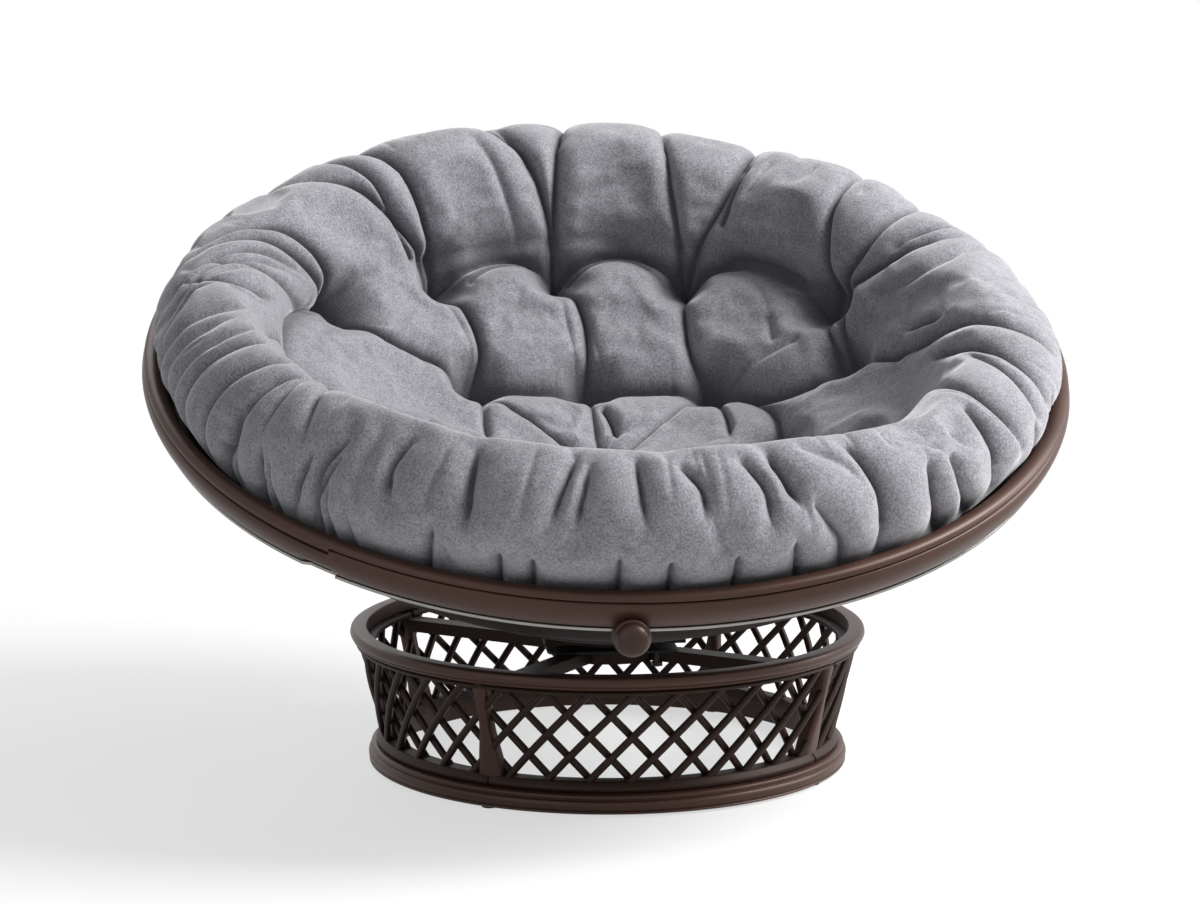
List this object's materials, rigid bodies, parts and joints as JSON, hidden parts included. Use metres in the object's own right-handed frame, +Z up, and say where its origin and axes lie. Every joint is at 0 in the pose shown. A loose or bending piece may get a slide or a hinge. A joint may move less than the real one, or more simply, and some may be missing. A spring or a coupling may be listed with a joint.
{
  "type": "papasan chair",
  "caption": "Round tilted bowl chair with a deep tufted cushion, a moulded rim with a hand screw, and a swivel on a lattice drum base.",
  "frame": {"origin": "on the floor under the swivel axis, at the middle of the drum base", "axes": "+Z up along the swivel axis, the bowl opens towards -Y, +X to the right of a viewer in front"},
  "size_m": [1.06, 1.0048, 0.7061],
  "materials": {
    "bronze_moulding": "moulded resin, painted a satin bronze brown",
    "bronze_casting": "cast, painted a satin bronze brown",
    "dark_bronze_steel": "powder coated, satin near-black brown",
    "dark_moulding": "moulded sheet, dull near-black brown",
    "grey_trim": "satin grey trim",
    "black_steel": "painted black",
    "zinc_steel": "zinc plated",
    "rubber": "black, dull",
    "suede": "short-napped suede cloth, lavender grey, mottled by the lie of the nap"
  },
  "bodies": {
    "base": {"bottom_ring": "bronze_moulding", "top_ring": "bronze_moulding", "glide_1": "rubber", "glide_2": "rubber", "glide_3": "rubber", "glide_4": "rubber", "base_post_1": "bronze_casting", "base_post_2": "bronze_casting", "base_post_3": "bronze_casting", "base_post_4": "bronze_casting", "lattice_panel_1": "dark_bronze_steel", "lattice_panel_2": "dark_bronze_steel", "lattice_panel_3": "dark_bronze_steel", "lattice_panel_4": "dark_bronze_steel", "cross_frame": "dark_bronze_steel", "swivel_lower_plate": "black_steel", "ball_race": "zinc_steel", "swivel_rivet": "zinc_steel", "swivel_bolt_1": "zinc_steel", "swivel_bolt_2": "zinc_steel", "swivel_bolt_3": "zinc_steel", "swivel_bolt_4": "zinc_steel"},
    "bowl": {"swivel_upper_plate": "black_steel", "tilt_frame": "dark_bronze_steel", "tilt_bolt_1": "zinc_steel", "tilt_bolt_2": "zinc_steel", "tilt_bolt_3": "zinc_steel", "tilt_bolt_4": "zinc_steel", "hub_dish": "dark_bronze_steel", "hub_disc": "dark_bronze_steel", "dish_skirt": "dark_moulding", "dish_rib_1": "dark_bronze_steel", "dish_rib_2": "dark_bronze_steel", "dish_rib_3": "dark_bronze_steel", "dish_rib_4": "dark_bronze_steel", "dish_rib_5": "dark_bronze_steel", "dish_rib_6": "dark_bronze_steel", "dish_rib_7": "dark_bronze_steel", "dish_rib_8": "dark_bronze_steel", "dish_rib_9": "dark_bronze_steel", "dish_rib_10": "dark_bronze_steel", "dish_rib_11": "dark_bronze_steel", "dish_rib_12": "dark_bronze_steel", "middle_hoop": "dark_bronze_steel", "rim_hoop": "dark_bronze_steel", "rim_band": "bronze_moulding", "rim_bead": "bronze_moulding", "rim_lip": "grey_trim"},
    "screw": {"screw_stud": "zinc_steel"},
    "knob": {"hand_knob": "bronze_moulding"},
    "cushion": {"cushion": "suede"}
  },
  "joints": [
    {"name": "bowl_swivel", "type": "hinge", "parent": "base", "child": "bowl", "pos_m": [0, 0, 0.145], "axis": [0, 0, 1], "continuous": true},
    {"name": "cushion_lift", "type": "slide", "parent": "bowl", "child": "cushion", "axis": [0, -0.3665, 0.9304], "range_m": [0, 0.3]},
    {"name": "knob_travel", "type": "slide", "parent": "bowl", "child": "screw", "axis": [-0.039, -0.9992, 0.0003], "range_m": [0, 0.0025]},
    {"name": "knob_turn", "type": "hinge", "parent": "screw", "child": "knob", "pos_m": [-0.02267, -0.48643, 0.24298], "axis": [-0.039, -0.9992, 0.0003], "range_deg": [0, 720]}
  ],
  "couplings": [
    {"joint": "knob_travel", "follows": "knob_turn", "m_per_rad": 0.00019894}
  ]
}
